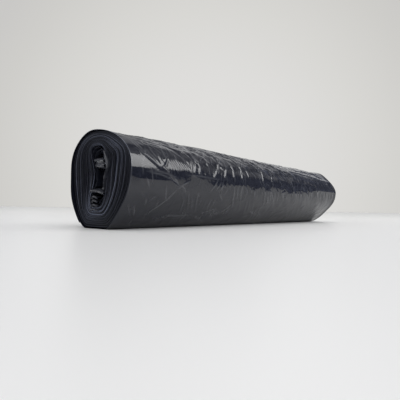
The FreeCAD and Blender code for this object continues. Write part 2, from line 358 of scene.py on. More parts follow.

# %% [markdown]
# Where the film was gathered, faint folds lie side by side. The list gives the two ends of the first
# fold of each bundle, the number of folds, the distance between them and how pale their crests are,
# partly whitened by strain and partly a painted highlight.

# %% Bundles of parallel folds
BUNDLE_RISE = (0.20, 0.38)
BUNDLE_WIDTHS = (0.8, 1.2)
BUNDLE_WHITENING_AND_GLINT = (0.7, 1.4)
SPACING_PLAY = 0.25
SWAY = 2.0
BUNDLES = (
    ((92, 231), (113, 220), 3, 5.5, 0.7),
    ((178, 238), (168, 215), 4, 6.0, 0.7),
    ((176, 183), (186, 212), 3, 5.0, 0.6),
    ((134, 177), (138, 188), 4, 6.5, 0.6),
    ((211, 180), (218, 197), 3, 6.0, 0.6),
    ((236, 175), (241, 188), 4, 8.0, 0.6),
    ((300, 231), (322, 207), 4, 11.0, 0.5),
    ((52, 190), (62, 222), 4, 6.0, 0.15),
    ((140, 200), (149, 224), 4, 7.0, 0.4),
    ((245, 214), (262, 238), 4, 9.0, 0.4),
)
for start, end, count, spacing, whitening_and_glint in BUNDLES:
    for number in range(count):
        shift = number * spacing + rng.uniform(-SPACING_PLAY, SPACING_PLAY) * spacing
        sway = rng.uniform(-SWAY, SWAY, 4)
        middle = (0.5 * (start[0] + end[0]) + shift + sway[0], 0.5 * (start[1] + end[1]) + sway[1])
        route = ((start[0] + shift, start[1] + 2 * sway[2]), middle, (end[0] + shift, end[1] + 2 * sway[3]))
        rise = rng.uniform(*BUNDLE_RISE)
        lay_fold(folds, rise, *BUNDLE_WIDTHS, route, whitening_and_glint * rng.uniform(*BUNDLE_WHITENING_AND_GLINT))

# %% [markdown]
# Besides these, hundreds of faint short folds lie all over the film. Most run around the roll, as
# the film was drawn tight along it, and those on top are longer, higher and run along it. Towards
# the near end they grow fainter.

# %% Faint folds all over
FAINT_FOLDS = 1500
UPPER_SHARE = 0.45
UPPER_TURN = 128
UPPER_SPREAD = 22
TOP_TURN = 125
TOP_SPREAD = 32
LEAN_ON_TOP = 30
LEAN_BELOW = 85
LEAN_SPREAD = 24
HALF_LENGTH = (2.5, 7)
BOW_SPREAD = 0.15
faint = np.zeros_like(along)
for _ in range(FAINT_FOLDS):
    place = rng.uniform(8, LENGTH - 8)
    in_upper = rng.uniform() < UPPER_SHARE
    turn = rng.normal(UPPER_TURN, UPPER_SPREAD) if in_upper else rng.uniform(0, FULL_TURN)
    on_top = math.exp(-(((turn - TOP_TURN) / TOP_SPREAD) ** 2))
    lean = math.radians(rng.normal(LEAN_ON_TOP if rng.uniform() < on_top else LEAN_BELOW, LEAN_SPREAD))
    half = rng.uniform(*HALF_LENGTH) * (1 + 0.8 * on_top)
    bow = rng.normal(0, BOW_SPREAD) * half
    run = half * math.cos(lean)
    climb = half * math.sin(lean) / MM_PER_DEGREE
    route = (
        (place - run, turn - climb),
        (place + bow * math.sin(lean), turn - bow * math.cos(lean) / MM_PER_DEGREE),
        (place + run, turn + climb),
    )
    rise = (rng.uniform(0.04, 0.14) + 0.32 * on_top * rng.uniform()) * min(1, 0.3 + place / 160)
    right_width = rng.uniform(0.6, 1.0)
    left_width = rng.uniform(0.9, 2.0)
    # Crest paleness, higher on top: whitened by strain, and a painted highlight.
    whitening_and_glint = rng.uniform(0, 0.95) ** (2 - on_top)
    lay_fold(faint, rise, right_width, left_width, route, whitening_and_glint)
print(f"{FAINT_FOLDS} faint folds, up to {faint.max():.2f} mm")

# %% [markdown]
# Some patches are different. The film gathers in rows of fine curved ripples near the end and low
# at mid length, and along the top edge it lies in fine pleats that run lengthwise. A patch is given
# by its middle and half its size, along and around. Between its few strong folds the film of the
# near half is drawn flat, and so is the top of the far half.

# %% Ripples and pleats
RIPPLE_PITCH = 2.6
RIPPLE_HEIGHT = 0.14
RIPPLE_SLANT = 0.65
RISING_SHARE = 0.64
RIPPLE_TURN = 161
RIPPLE_PATCH = (47, 14, 162, 9)
LOW_RIPPLE_HEIGHT = 0.8 * RIPPLE_HEIGHT
LOW_RIPPLE_PATCH = (245, 45, 187, 12)
PLEAT_PITCH = 2.6
PLEAT_HEIGHT = 0.16
PLEAT_PATCHES = ((40, 32, 118, 18), (300, 45, 128, 20))


def lens(middle_place, half_length, middle_turn, half_turn):
    """1 in the middle of an oval patch of the film, 0 outside it."""
    off = ((along - middle_place) / half_length) ** 2 + ((degrees - middle_turn) / half_turn) ** 2
    return np.clip(1.6 * (1 - off), 0, 1)


leaning = along - RIPPLE_SLANT * (around - RIPPLE_TURN * MM_PER_DEGREE) + 0.5 * np.sin(around / 3.0)
saw = (leaning / RIPPLE_PITCH) % 1
ripples = RIPPLE_HEIGHT * np.minimum(saw / RISING_SHARE, (1 - saw) / (1 - RISING_SHARE))
ripples *= lens(*RIPPLE_PATCH)
ripples += LOW_RIPPLE_HEIGHT * np.sin(2 * np.pi * leaning / RIPPLE_PITCH) * lens(*LOW_RIPPLE_PATCH)
pleat_phase = around + 0.10 * along + 1.2 * np.sin(along / 17)
pleats = PLEAT_HEIGHT * np.sin(2 * np.pi * pleat_phase / PLEAT_PITCH)
pleats *= sum(lens(*patch) for patch in PLEAT_PATCHES)
drawn_flat = 1 - 0.65 * np.clip((225 - along) / 30, 0, 1) * around_peak(degrees, 162, 11)
drawn_flat *= 1 - 0.6 * np.clip((along - 235) / 25, 0, 1) * around_peak(degrees, 140, 30)
small_creases = faint * drawn_flat + ripples + pleats
print(f"small creases from {small_creases.min():.2f} to {small_creases.max():.2f} mm")

# %% [markdown]
# The facets are deeper on the upper half, where the film hangs loose between the turns, and faint
# low on the sides, where its own weight pulls it tight. A patch of the near end is calm. Close to
# the ends and to the free edge the film is held by the turn beneath, so the field fades out there.
# A fringe of small facets frays the line below which the film mirrors the floor, and the belly is
# a slow swell on that side.

# %% Facets over the whole bag, and where they fade
FACETS = ((0.65, 26, 15, 3), (0.60, 11, 7.5, 5), (0.34, 5.2, 3.6, 8))
FRINGE_HEIGHT = 0.30
FRINGE_TURN = 178
BELLY_HEIGHT = 0.45
BELLY_TURN = 180
END_FADE = 7.0
EDGE_FADE = 12.0
looseness = 0.28 + 0.72 * around_peak(degrees, 128, 36)
looseness = np.maximum(looseness, 0.7 * around_peak(degrees, 40, 50))
calm = 1 - 0.9 * np.clip((62 - along) / 12, 0, 1) * around_peak(degrees, 163, 16) ** 0.5
calm *= 1 - 0.6 * np.clip((42 - along) / 14, 0, 1) * around_peak(degrees, 138, 16)
calm *= drawn_flat
calm *= 0.55 + 0.45 * np.clip((along - 12) / 20, 0, 1)
facets = sum(depth * lattice_facets(along, around, *cells) for depth, *cells in FACETS)
facets = soften(facets, 1) * looseness * calm
fringe = FRINGE_HEIGHT * lattice_facets(along, around, 3.0, 9.0, 11) * around_peak(degrees, FRINGE_TURN, 9)
fringe *= np.clip((along - 90) / 30, 0, 1)
facets += fringe
belly = BELLY_HEIGHT * np.sin(np.pi * (degrees - BELLY_TURN) / 31) * around_peak(degrees, BELLY_TURN, 28)
belly *= np.clip((300 - along) / 60, 0, 1)
at_ends = np.clip(np.minimum(along, LENGTH - along) / END_FADE, 0, 1)
at_edge = np.clip(np.minimum(past_edge, FULL_TURN + UNDERLAP - past_edge) / EDGE_FADE, 0, 1)
crease_field = ((facets + folds + small_creases) * (0.15 + 0.85 * at_ends) + belly) * at_edge
print(f"facets from {facets.min():.2f} to {facets.max():.2f} mm")

# %% [markdown]
# The film is black polyethylene, 60 thousandths of a millimetre thick: a smooth plastic whose gloss
# carries the whole look. Drawing it out in the works leaves a faint grain and a haze that comes and
# goes, and where it lies loose it crinkles. Both the film's face and its cut edge show them, so they
# are one node group, set differently. It reads how loose the film is from the mesh.

# %% Grain and haze of drawn film
def ramp(nodes, stops):
    """Colour ramp with those stops: place and colour."""
    node = nodes.new("ShaderNodeValToRGB")
    band = node.color_ramp
    while len(band.elements) < len(stops):
        band.elements.new(0.5)
    for element, (place, colour) in zip(band.elements, stops):
        element.position = place
        element.color = (*colour, 1)
    return node


def noise(nodes, links, place, scale, detail, distortion=0.0):
    """Noise texture that is read at that place."""
    node = nodes.new("ShaderNodeTexNoise")
    node.inputs["Scale"].default_value = scale
    node.inputs["Detail"].default_value = detail
    node.inputs["Distortion"].default_value = distortion
    links.new(place, node.inputs["Vector"])
    return node


def bump(nodes, links, distance, strength, height):
    """Relief of that depth in metres, from a height and a strength."""
    node = nodes.new("ShaderNodeBump")
    node.inputs["Distance"].default_value = distance
    links.new(strength, node.inputs["Strength"])
    links.new(height, node.inputs["Height"])
    return node


def fit_range(nodes, links, value, start, end, low=0.0, high=1.0):
    """Turn a value between start and end into one between low and high."""
    node = nodes.new("ShaderNodeMapRange")
    node.inputs["From Min"].default_value = start
    node.inputs["From Max"].default_value = end
    node.inputs["To Min"].default_value = low
    node.inputs["To Max"].default_value = high
    links.new(value, node.inputs["Value"])
    return node.outputs["Result"]


def film_grain_group():
    """Node group: haze from 0 to 1, and a normal with the grain, small wrinkles and crinkles."""
    group = bpy.data.node_groups.new("film_grain", "ShaderNodeTree")
    group.interface.new_socket("Grain", in_out="INPUT", socket_type="NodeSocketFloat")
    group.interface.new_socket("Wrinkle", in_out="INPUT", socket_type="NodeSocketFloat")
    group.interface.new_socket("Haze", in_out="OUTPUT", socket_type="NodeSocketFloat")
    group.interface.new_socket("Normal", in_out="OUTPUT", socket_type="NodeSocketVector")
    nodes = group.nodes
    links = group.links
    inputs = nodes.new("NodeGroupInput")
    outputs = nodes.new("NodeGroupOutput")
    place = nodes.new("ShaderNodeTexCoord")
    drawn = nodes.new("ShaderNodeMapping")
    drawn.inputs["Scale"].default_value = (1.0, 0.35, 0.35)
    links.new(place.outputs["Object"], drawn.inputs["Vector"])
    grain = noise(nodes, links, drawn.outputs["Vector"], 900, 3)
    wrinkles = noise(nodes, links, place.outputs["Object"], 170, 2, 0.6)
    small = bump(nodes, links, 0.0002, inputs.outputs["Grain"], grain.outputs["Fac"])
    large = bump(nodes, links, 0.0006, inputs.outputs["Wrinkle"], wrinkles.outputs["Fac"])
    links.new(small.outputs["Normal"], large.inputs["Normal"])
    slanted = nodes.new("ShaderNodeMapping")
    slanted.inputs["Rotation"].default_value = (0.0, math.radians(-14), math.radians(12))
    slanted.inputs["Scale"].default_value = (0.45, 1.0, 1.0)
    links.new(place.outputs["Object"], slanted.inputs["Vector"])
    crinkles = noise(nodes, links, slanted.outputs["Vector"], 150, 3, 0.4)
    crinkles.noise_type = "RIDGED_MULTIFRACTAL"
    loose = nodes.new("ShaderNodeAttribute")
    loose.attribute_name = "loose"
    crinkled = bump(nodes, links, 0.0013, loose.outputs["Fac"], crinkles.outputs["Fac"])
    links.new(large.outputs["Normal"], crinkled.inputs["Normal"])
    links.new(crinkled.outputs["Normal"], outputs.inputs["Normal"])
    patches = noise(nodes, links, place.outputs["Object"], 45, 4)
    links.new(patches.outputs["Fac"], outputs.inputs["Haze"])
    return group


film_grain = film_grain_group()
print("film grain group:", len(film_grain.nodes), "nodes")

# %% [markdown]
# The face of the film is almost black and mirrors the room. Haze takes a little of its gloss away
# in patches, and the film is paler where the mesh marks it: crests whitened by strain and given a
# painted highlight, a painted highlight on the near rim, and painted light and shade on the turns
# and on the folds in the hollow. Where the film is cut, light gets into it, so an edge is greyer and
# duller.

# %% Film materials
def film_material(name, tone_low, tone_high, gloss, dull, grain, wrinkle, sheen):
    """Black film: its plain and its pale tone, its roughness clear and hazy, its relief and sheen."""
    material = bpy.data.materials.new(name)
    material.use_nodes = True
    nodes = material.node_tree.nodes
    links = material.node_tree.links
    shader = nodes["Principled BSDF"]
    shader.inputs["IOR"].default_value = 1.52
    shader.inputs["Specular IOR Level"].default_value = sheen
    relief = nodes.new("ShaderNodeGroup")
    relief.node_tree = film_grain
    relief.inputs["Grain"].default_value = grain
    relief.inputs["Wrinkle"].default_value = wrinkle
    tone = ramp(nodes, ((0.0, tone_low), (1.0, tone_high)))
    held = nodes.new("ShaderNodeAttribute")
    held.attribute_name = "pale"
    roughness = fit_range(nodes, links, relief.outputs["Haze"], 0.35, 0.65, gloss, dull)
    links.new(held.outputs["Fac"], tone.inputs["Fac"])
    links.new(tone.outputs["Color"], shader.inputs["Base Color"])
    links.new(roughness, shader.inputs["Roughness"])
    links.new(relief.outputs["Normal"], shader.inputs["Normal"])
    return material


black_film = film_material(
    "black_film", (0.009, 0.0105, 0.018), (0.085, 0.088, 0.098),
    gloss=0.05, dull=0.13, grain=0.04, wrinkle=0.08, sheen=0.45,
)
film_edges = film_material(
    "film_edges", (0.003, 0.004, 0.008), (0.165, 0.185, 0.255),
    gloss=0.55, dull=0.75, grain=0.10, wrinkle=0.10, sheen=0.2,
)

# %% [markdown]
# Winding the sheet is a matter of giving each point of the grid its place. The free edge is where
# this bag was torn from the next one along its perforation, so it has small teeth. The film flares
# a little at the far end. Its inner side is hidden but for its edges, so elsewhere it is laid
# deeper and smooth, with few faces.

# %% Wind the outermost bag
TOOTH_PITCH = 2.6
TOOTH_LENGTH = 0.9
FILM_THICKNESS = 0.22
FLARE = 0.9
END_RUN = 8.0
INNER_SHARE = 0.06
INNER_DEPTH = 1.6
INNER_START = 4.0
INNER_RUN = 10.0


def new_grid(name, rows, columns):
    """A sheet of film: a grid primitive with that many rows and columns of points."""
    bpy.ops.object.select_all(action="DESELECT")
    bpy.ops.mesh.primitive_grid_add(x_subdivisions=columns - 1, y_subdivisions=rows - 1, size=1)
    piece = bpy.context.object
    piece.name = name
    piece.data.name = name
    piece.data.materials.append(black_film)
    piece.data.materials.append(film_edges)
    return piece


def place_points(piece, across, up, lengthwise, rows, columns):
    """Give each grid point its place, in millimetres, row by row along the roll."""
    co = np.stack([lengthwise - 0.5 * LENGTH, across, up], -1).reshape(rows * columns, 3) * MM
    piece.data.vertices.foreach_set("co", co.astype(np.float32).ravel())
    piece.data.update()


def mark_points(piece, name, values):
    """Keep a value from 0 to 1 at every point of a sheet, for its material to read."""
    layer = piece.data.attributes.new(name, "FLOAT", "POINT")
    spread = np.ravel(values) * np.ones(len(piece.data.vertices))
    layer.data.foreach_set("value", spread.astype(np.float32))


def finish_sheet(piece, thickness, inner_places=None, inner_share=1.0):
    """Give the sheet its thickness, inwards. Its edges take the second material.

    The inner side of a sheet that hides it can be laid smoother, and keep only a share of its faces.
    """
    bpy.ops.object.select_all(action="DESELECT")
    bpy.context.view_layer.objects.active = piece
    piece.select_set(True)
    outer_faces = len(piece.data.polygons)
    solid = piece.modifiers.new("film", "SOLIDIFY")
    solid.thickness = thickness * MM
    solid.offset = -1
    solid.use_even_offset = False
    solid.material_offset_rim = 1
    bpy.ops.object.modifier_apply(modifier=solid.name)
    if inner_places is not None:
        co = np.zeros(3 * len(piece.data.vertices), dtype=np.float32)
        piece.data.vertices.foreach_get("co", co)
        co[len(co) // 2:] = inner_places.ravel() * MM
        piece.data.vertices.foreach_set("co", co)
        chosen = np.zeros(len(piece.data.polygons), dtype=bool)
        chosen[outer_faces:2 * outer_faces] = True
        piece.data.vertices.foreach_set("select", np.zeros(len(piece.data.vertices), dtype=bool))
        piece.data.edges.foreach_set("select", np.zeros(len(piece.data.edges), dtype=bool))
        piece.data.polygons.foreach_set("select", chosen)
        bpy.context.tool_settings.mesh_select_mode = (False, False, True)
        bpy.ops.object.mode_set(mode="EDIT")
        bpy.ops.mesh.decimate(ratio=inner_share)
        bpy.ops.object.mode_set(mode="OBJECT")
    bpy.ops.object.shade_smooth_by_angle(angle=math.radians(70))


teeth = TOOTH_LENGTH * np.abs((row_places / TOOTH_PITCH) % 2 - 1) + 0.8 * np.sin(row_places / 31)
edge_shift = (teeth / MM_PER_DEGREE)[:, None] * np.clip(1 - past_edge / 6.0, 0, 1)
bag_angle = angle_around + edge_shift
bag_radius = film_radius(along / LENGTH, bag_angle, past_edge) + crease_field
at_near_end = np.clip(1 - along / END_RUN, 0, 1)
at_far_end = np.clip(1 - (LENGTH - along) / END_RUN, 0, 1)
bag_radius += FLARE * at_far_end**2
end_wave = 0.5 * np.sin(np.radians(3 * degrees)) + 0.3 * np.sin(np.radians(7 * degrees) + 1)
bag_along = along + end_wave * (at_near_end - at_far_end)
bag_across = SIDE_OFFSET + bag_radius * np.cos(np.radians(bag_angle))
bag_up = on_floor(AXIS_HEIGHT + bag_radius * np.sin(np.radians(bag_angle)))

outer_bag = new_grid("outer_bag", ROWS, COLUMNS)
place_points(outer_bag, bag_across, bag_up, bag_along, ROWS, COLUMNS)
still = np.clip((34 - along) / 6, 0, 1) * around_peak(degrees, 161, 12) ** 0.5
mark_points(outer_bag, "loose", (0.04 + 0.96 * looseness * calm * drawn_flat) * (1 - still))
# Painted highlight: the top of the rim at the near end is painted paler, where its edge would catch the
# light.
rim_light = around_peak(degrees, 140, 40) * np.clip(1 - along / 1.2, 0, 1)
mark_points(outer_bag, "pale", np.clip(0.03 + crest_whitening_and_glint + rim_light, 0, 1))
hidden = np.clip((np.minimum(along, LENGTH - along) - INNER_START) / INNER_RUN, 0, 1)
hidden *= np.clip((np.minimum(past_edge, FULL_TURN + UNDERLAP - past_edge) - UNDERLAP) / INNER_RUN, 0, 1)
smooth_radius = film_radius(along / LENGTH, bag_angle, past_edge) - INNER_DEPTH
inner_radius = bag_radius * (1 - hidden) + smooth_radius * hidden - FILM_THICKNESS
inner_across = SIDE_OFFSET + inner_radius * np.cos(np.radians(bag_angle))
inner_height = AXIS_HEIGHT + inner_radius * np.sin(np.radians(bag_angle))
inner_up = on_floor(inner_height - FILM_THICKNESS) + FILM_THICKNESS
inner_places = np.stack([bag_along - 0.5 * LENGTH, inner_across, inner_up], -1)
finish_sheet(outer_bag, FILM_THICKNESS, inner_places, INNER_SHARE)
print(f"outer_bag: {len(outer_bag.data.polygons)} faces")

# %% [markdown]
# Behind the outermost bag come the turns. They are one ribbon that winds inwards to the hollow.
# It needs many points around, and along the roll only a few near both ends, where it can be seen.
# The turns lie in bundles with wider gaps between them, and their edges don't line up exactly.

# %% Wind the turns
TURNS = 32
POINTS_PER_TURN = 120
BUNDLE = 3.3
EDGE_PLAY = 1.1
TURN_THICKNESS = 0.34
OUTERMOST = 0.955
INSET_RUN = 12.0
turn_stations = np.array([0, 1.5, 6, 25, LENGTH / 2, LENGTH - 25, LENGTH - 6, LENGTH - 1.5, LENGTH])
TURN_COLUMNS = TURNS * POINTS_PER_TURN + 1


def uneven(places, count):
    """Random values from 0 to 1 at the whole numbers below count, read in between at the places."""
    return np.interp(places, np.arange(count), rng.uniform(0, 1, count))


wound = np.linspace(0, TURNS, TURN_COLUMNS)
station, winding = np.meshgrid(turn_stations, wound, indexing="ij")
turn_angle = EDGE_TURN + UNDERLAP + FULL_TURN * winding
bundling = 0.42 * np.sin(2 * np.pi * winding / BUNDLE) * BUNDLE / (2 * np.pi)
depth = OUTERMOST * (1 - (winding + bundling) / (TURNS + 0.8))
slow = np.sin(np.radians(2 * turn_angle) + 1.7 * np.floor(winding / BUNDLE))
slow += np.sin(np.radians(5 * turn_angle) + 0.9 * winding)
depth += 0.0035 * slow * np.clip(winding, 0, 1)
turn_across, turn_up = turn_outline(station / LENGTH, turn_angle, depth)
edge_noise = uneven(wound * 9.7, 10 * TURNS + 2)
bundle_step = uneven(wound / BUNDLE, 12)
inset = 0.4 + EDGE_PLAY * (0.45 * edge_noise + 0.55 * bundle_step) + 2.6 * np.exp(-wound / 0.6)
patches = uneven(wound * 2.2, 73)
strength = uneven(wound * 3.1, 102)
line_phase = (wound / 3.1 + 0.16 * np.sin(wound)) % 1
light_line = np.exp(-(((line_phase - 0.5) / 0.11) ** 2)) * strength**1.5
ring_angle = (EDGE_TURN + UNDERLAP + FULL_TURN * wound) % FULL_TURN
inwards = wound / TURNS
fine_line = 0.5 + 0.5 * np.cos(2 * np.pi * wound / 2.1)
pale = 0.06 * patches**2 + 1.35 * light_line
# Painted shade: the first turn, in the gap behind the outermost bag, is painted dark.
pale *= np.clip(wound / 1.6, 0, 1)
# Painted shade: the turns are painted darker on the +Y side, and the outer turns darker at the top.
shade = 0.45 * around_peak(ring_angle, 20, 60)
shade += 0.35 * around_peak(ring_angle, 90, 30) * np.clip(1 - 2 * inwards, 0, 1)
pale *= 1 - shade
pale += 0.75 * fine_line * patches * around_peak(ring_angle, 133, 18) * around_peak(inwards, 0.35, 0.22)
pale += 0.45 * fine_line * around_peak(ring_angle, 290, 26) * around_peak(inwards, 0.6, 0.35)
pale += 0.45 * fine_line * around_peak(ring_angle, 100, 30) * around_peak(inwards, 0.95, 0.07)
near_side = np.clip(1 - station / INSET_RUN, 0, 1)
far_side = np.clip(1 - (LENGTH - station) / INSET_RUN, 0, 1)
turn_along = station + inset * near_side - inset[::-1] * far_side

wound_turns = new_grid("wound_turns", len(turn_stations), TURN_COLUMNS)
place_points(wound_turns, turn_across, turn_up, turn_along, len(turn_stations), TURN_COLUMNS)
mark_points(wound_turns, "pale", np.broadcast_to(np.clip(pale, 0, 1), turn_along.shape))
finish_sheet(wound_turns, TURN_THICKNESS)
print(f"wound_turns: {len(wound_turns.data.polygons)} faces")

# %% [markdown]
# The start of the web was never held by a core, so it lies crumpled in the hollow: a loose lining
# that stands off the wall by a gap and its own crumpling, and folds that cross it.

# %% Line the hollow
LINING_GAP = 0.7
LINING_CRUMPLE = 0.75
LINING_ROWS = 110
LINING_COLUMNS = 140
LINING_MM_PER_DEGREE = 0.36
lining_stations = spaced(
    LINING_ROWS,
    (0, 25, 70, LENGTH - 70, LENGTH - 25, LENGTH),
    (2.2, 1.6, 0.25, 0.25, 1.6, 2.2),
)
lining_turn = np.linspace(0, FULL_TURN, LINING_COLUMNS) + EDGE_TURN
station, lining_angle = np.meshgrid(lining_stations, lining_turn, indexing="ij")
lining_run = (lining_angle - EDGE_TURN) * LINING_MM_PER_DEGREE
crumple = lattice_facets(station, lining_run, 13, 5.5, 31)
crumple += 0.45 * lattice_facets(station, lining_run, 5, 2.6, 37)
push = LINING_GAP + LINING_CRUMPLE * (1 + crumple)
wall_across, wall_up = hollow_outline(lining_angle)
toward_across = np.cos(np.radians(lining_angle))
toward_up = np.sin(np.radians(lining_angle))
lining_inset = 1.4 + 0.9 * lattice_facets(station, lining_run, 300, 7, 41)
near_side = np.clip(1 - station / INSET_RUN, 0, 1)
far_side = np.clip(1 - (LENGTH - station) / INSET_RUN, 0, 1)
lining_along = station + lining_inset * (near_side - far_side)
lining = new_grid("hollow_lining", LINING_ROWS, LINING_COLUMNS)
lining_across = wall_across - push * toward_across
lining_up = wall_up - push * toward_up
place_points(lining, lining_across, lining_up, lining_along, LINING_ROWS, LINING_COLUMNS)
mark_points(lining, "pale", 0.06)
finish_sheet(lining, FILM_THICKNESS)
print(f"hollow_lining: {len(lining.data.polygons)} faces")

# %% [markdown]
# Each fold is a small sheet through a net of given points, listed row by row: how far in
# from the end, across and up. Four are low arcs, given by their height and half their width. Those
# that catch the light are paler. The far end has the same folds upside down.

# %% Folds across the hollow
HOLLOW_MIDDLE = AXIS_HEIGHT + HOLLOW_LIFT
# Painted light and shade: sheets that catch the light at the near end are painted paler, those in the shade
# darker, and their upside-down copies at the far end take the same.
PAINTED_LIGHT = 0.42
PAINTED_SHADE = 0.08
SHEET_PALENESS = (PAINTED_LIGHT, PAINTED_LIGHT, PAINTED_LIGHT, PAINTED_SHADE, PAINTED_SHADE, PAINTED_SHADE, PAINTED_SHADE, PAINTED_LIGHT, PAINTED_LIGHT, PAINTED_LIGHT, PAINTED_LIGHT)
HOLLOW_FOLDS = (
    (
        ((24, 7.0, 57), (22, 1.5, 56), (24, -4.0, 56)),
        ((1.8, 6.2, 51.4), (1.3, 0.8, 50.8), (1.8, -4.7, 50.2)),
        ((1.6, 5.6, 48.2), (0.7, 0.2, 47.6), (1.5, -5.2, 47.2)),
        ((2.2, 4.4, 44.8), (1.4, -0.6, 44.4), (2.2, -5.6, 44.2)),
        ((26, 4.0, 43), (24, -1.0, 44), (26, -6.0, 42)),
    ),
    (
        ((20, 7.5, 33), (20, 3.0, 32.5), (20, -1.0, 31), (20, -4.5, 31)),
        ((1.0, 7.8, 29.0), (0.7, 2.2, 28.7), (0.8, -3.0, 27.8), (1.2, -6.4, 26.6)),
        ((1.3, 7.4, 26.6), (1.6, 2.0, 26.2), (1.0, -2.8, 25.4), (1.2, -6.8, 24.6)),
        ((22, 6.0, 25), (22, 2.0, 25), (22, -2.0, 24.5), (22, -4.5, 24)),
    ),
    (
        ((0.6, -4.6, 56), (0.4, -5.6, 51), (0.3, -7.6, 46),
         (0.2, -8.6, 42.5), (0.5, -6.4, 38), (0.8, -5.2, 33), (1.1, -4.7, 28.5)),
        ((1.2, -6.0, 56), (0.5, -9.0, 51), (0.4, -11.6, 46),
         (0.4, -9.8, 42.5), (0.9, -7.4, 38), (1.2, -6.2, 33), (1.5, -5.7, 28.5)),
        ((22, -5.0, 56), (22, -7.0, 51), (22, -8.4, 46),
         (22, -7.4, 42.5), (22, -6.8, 38), (22, -6.2, 33), (22, -5.7, 28.5)),
    ),
    (
        ((1.2, 11.0, 53), (0.8, 8.0, 57.5), (0.8, 2.5, 60.0), (1.4, -2.5, 60.5)),
        ((20, 10.0, 52), (20, 7.0, 56.5), (20, 2.0, 59.0), (20, -2.5, 59.5)),
    ),
    (
        ((2.0, 8.5, 50), (1.4, 6.0, 55), (1.2, 1.0, 57.5), (1.6, -3.0, 57)),
        ((20, 7.5, 50), (20, 5.0, 54), (20, 0.5, 56.5), (20, -3.0, 56)),
    ),
    (
        ((0.8, 10.8, 53.5), (0.8, 8.6, 49), (0.9, 6.8, 44.5),
         (1.0, 4.9, 40), (1.3, 3.6, 35), (1.6, 4.6, 31)),
        ((22, 9.0, 53), (22, 7.0, 49), (22, 5.6, 44.5), (22, 4.2, 40), (22, 3.4, 35), (22, 4.4, 31)),
    ),
    (
        ((6.0, 3.5, 42), (5.0, 1.0, 38), (6.0, -0.5, 34)),
        ((24, 2.5, 41), (24, 0.0, 37), (24, -1.0, 33)),
    ),
)
ARCS_LOW = ((24.0, 3.6), (21.2, 3.4), (18.0, 3.8), (14.6, 5.2))
FOLD_ROWS = 22
FOLD_COLUMNS = 26
FOLD_CRUMPLE = 0.45


def through(points, count):
    """A smooth curve through the points, read at that many even steps."""
    padded = np.concatenate([[2 * points[0] - points[1]], points, [2 * points[-1] - points[-2]]])
    step = np.linspace(0, len(points) - 1, count)
    span = np.minimum(step.astype(int), len(points) - 2)
    part = (step - span).reshape(-1, *[1] * (points.ndim - 1))
    before, start, end, after = (padded[span + k] for k in range(4))
    bend = 2 * before - 5 * start + 4 * end - after + part * (3 * (start - end) + after - before)
    return start + 0.5 * part * (end - before + part * bend)


def fold_net(net):
    """Rows and columns of points through the net, with crumpling across the sheet."""
    rows = through(np.array(net, dtype=float), FOLD_ROWS)
    grid = through(rows.transpose(1, 0, 2), FOLD_COLUMNS).transpose(1, 0, 2)
    along_sheet = np.linalg.norm(np.gradient(grid, axis=0), axis=-1).cumsum(axis=0)
    across_sheet = np.linalg.norm(np.gradient(grid, axis=1), axis=-1).cumsum(axis=1)
    facing = np.cross(np.gradient(grid, axis=0), np.gradient(grid, axis=1))
    facing /= np.linalg.norm(facing, axis=-1, keepdims=True)
    bumps = lattice_facets(along_sheet, across_sheet, 5.5, 3.4, 51 + len(net))
    bumps += 0.4 * lattice_facets(along_sheet, across_sheet, 2.2, 1.6, 57)
    return grid + FOLD_CRUMPLE * bumps[..., None] * facing


def low_arc(height, half_width):
    """A small arc of film low in the hollow, with a lip turned to the end of the roll."""
    middle = SIDE_OFFSET + 4.2
    crest = (
        (1.9, middle + half_width, height - 1.6),
        (1.0, middle, height),
        (1.8, middle - half_width, height - 1.2),
    )
    lip = tuple((inset - 0.7, across, up - 1.1) for inset, across, up in crest)
    return lip, crest, tuple((20, across, up + 0.6) for _, across, up in crest)


def hollow_fold(name, net, paleness, at_far_end):
    """One folded sheet in the hollow, at the near end or upside down at the far end."""
    inset, across, up = np.moveaxis(fold_net(net), -1, 0)
    if at_far_end:
        inset = LENGTH - inset
        up = 2 * HOLLOW_MIDDLE - up
    sheet = new_grid(name, FOLD_ROWS, FOLD_COLUMNS)
    place_points(sheet, across, up, inset, FOLD_ROWS, FOLD_COLUMNS)
    mark_points(sheet, "pale", paleness)
    finish_sheet(sheet, FILM_THICKNESS)
    return sheet


fold_nets = HOLLOW_FOLDS + tuple(low_arc(height, half_width) for height, half_width in ARCS_LOW)
sheets = [
    hollow_fold("hollow_folds", net, paleness, at_far_end)
    for at_far_end in (False, True)
    for net, paleness in zip(fold_nets, SHEET_PALENESS)
]
bpy.ops.object.select_all(action="DESELECT")
for sheet in sheets:
    sheet.select_set(True)
hollow_folds = sheets[0]
bpy.context.view_layer.objects.active = hollow_folds
bpy.ops.object.join()
print(f"hollow_folds: {len(sheets)} sheets, {len(hollow_folds.data.polygons)} faces")

# %% [markdown]
# All of it is the roll: every piece rides on the root, stands in for the CAD node, and is dressed in
# black film, with its cut edges in film_edges.

# %% Attach the pieces
for piece in (outer_bag, wound_turns, lining, hollow_folds):
    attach(piece, "root")
    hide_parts(NODE)

# %% [markdown]
# The roll lies on a plain pale table top with a slight sheen, which mirrors the roll softly.

